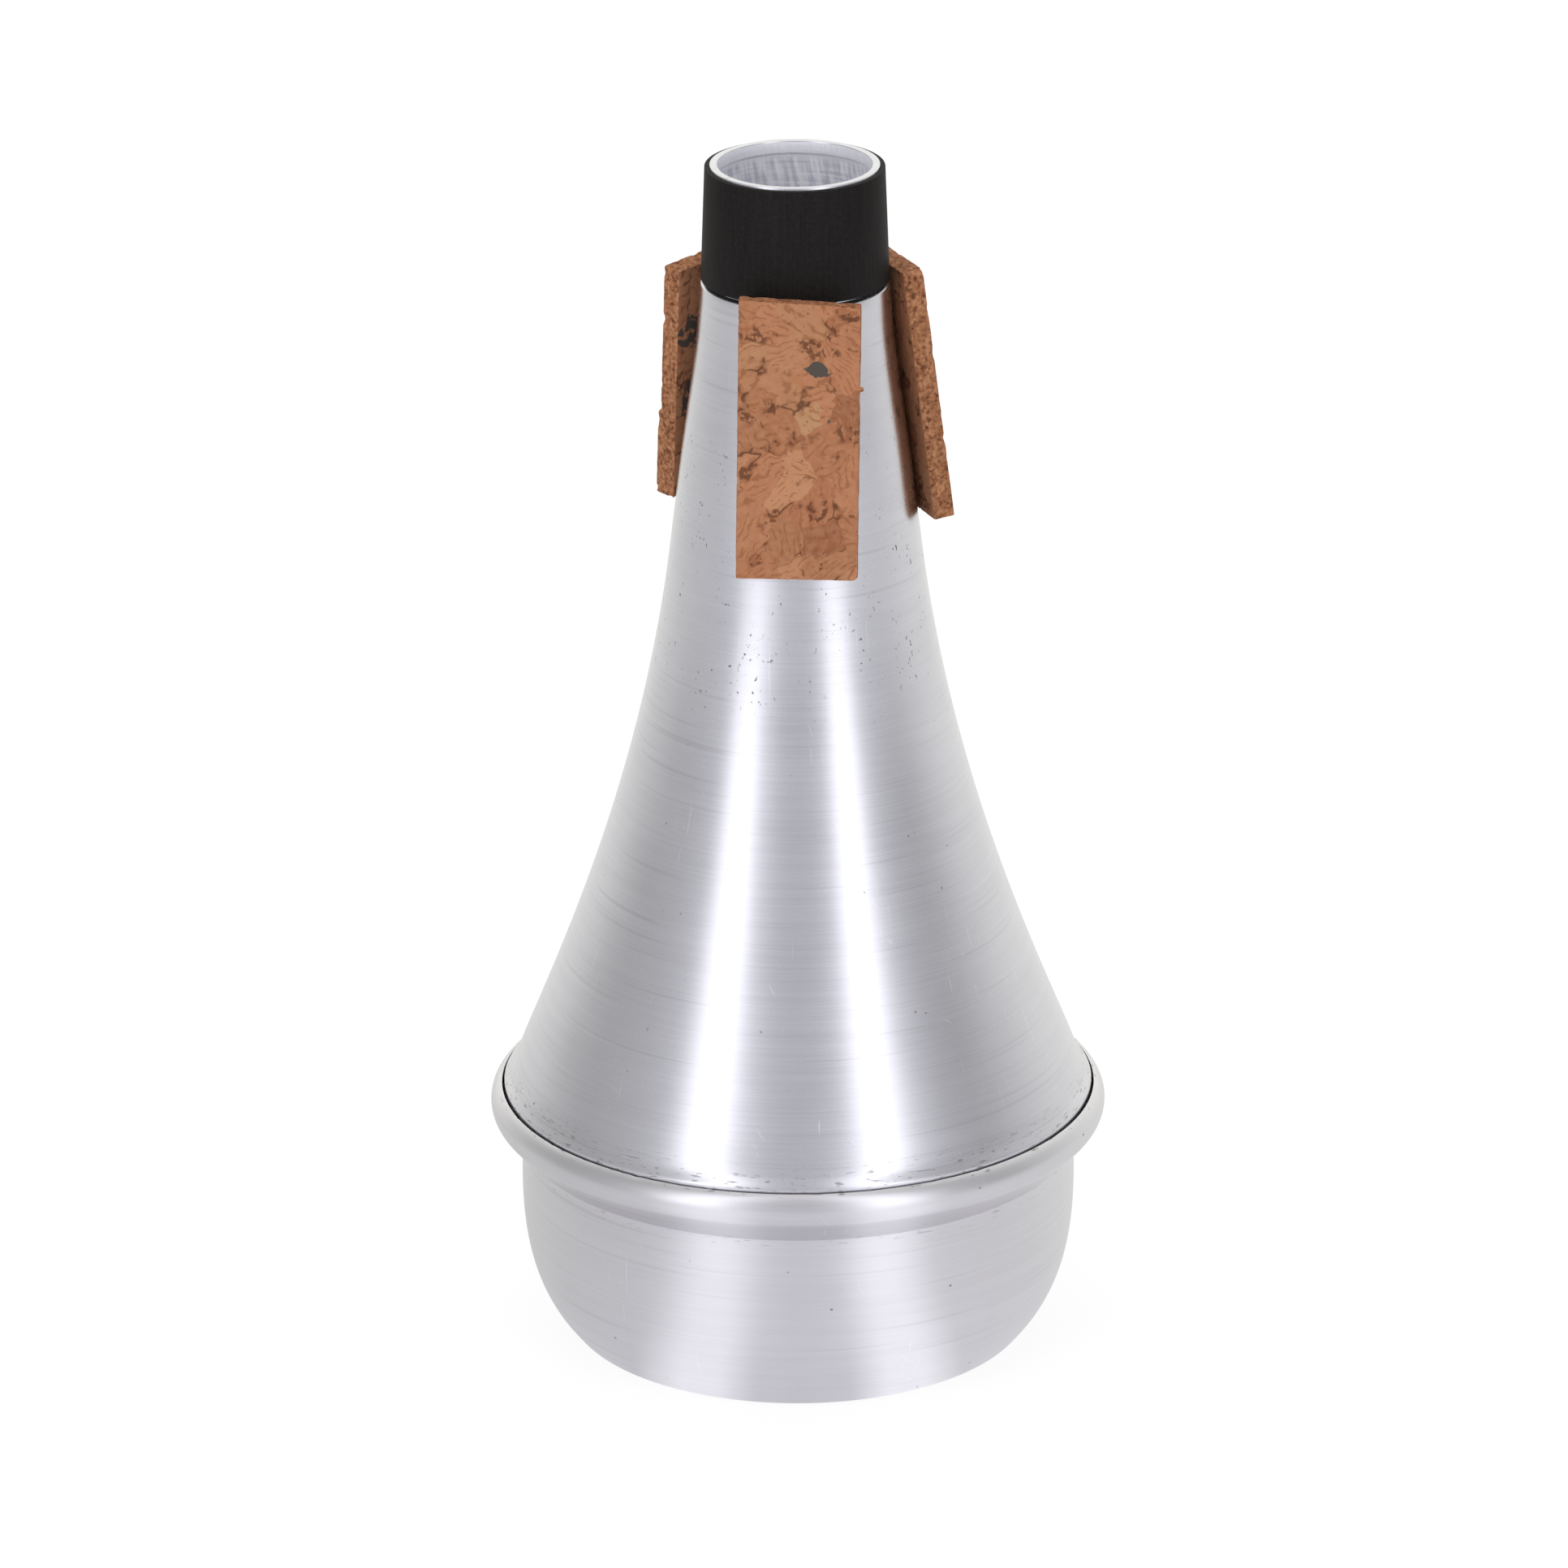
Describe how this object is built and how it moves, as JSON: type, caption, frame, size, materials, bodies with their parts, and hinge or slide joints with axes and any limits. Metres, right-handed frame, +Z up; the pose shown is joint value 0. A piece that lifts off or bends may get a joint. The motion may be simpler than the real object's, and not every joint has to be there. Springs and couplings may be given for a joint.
{
  "type": "trumpet straight mute",
  "caption": "Spun aluminium straight mute for a trumpet: open flared cone with a closed cup rolled onto its wide end, a black neck sleeve and flat cork pads.",
  "frame": {"origin": "centre of the cup's flat underside, where the mute stands", "axes": "+Z up the mute's axis to the open mouth, -Y towards the front, where the middle cork pad lies, +X to the right"},
  "size_m": [0.08, 0.08, 0.1577],
  "materials": {
    "spun_aluminium_cone": "spun and brushed round the axis",
    "spun_aluminium_cup": "spun, softly polished",
    "black_sleeve": "matt",
    "granulated_cork": "bare granulated cork"
  },
  "bodies": {
    "root": {"cone_body": "spun_aluminium_cone", "bottom_cup": "spun_aluminium_cup", "neck_sleeve": "black_sleeve", "cork_pad_front": "granulated_cork", "cork_pad_right": "granulated_cork", "cork_pad_left": "granulated_cork"}
  },
  "joints": []
}
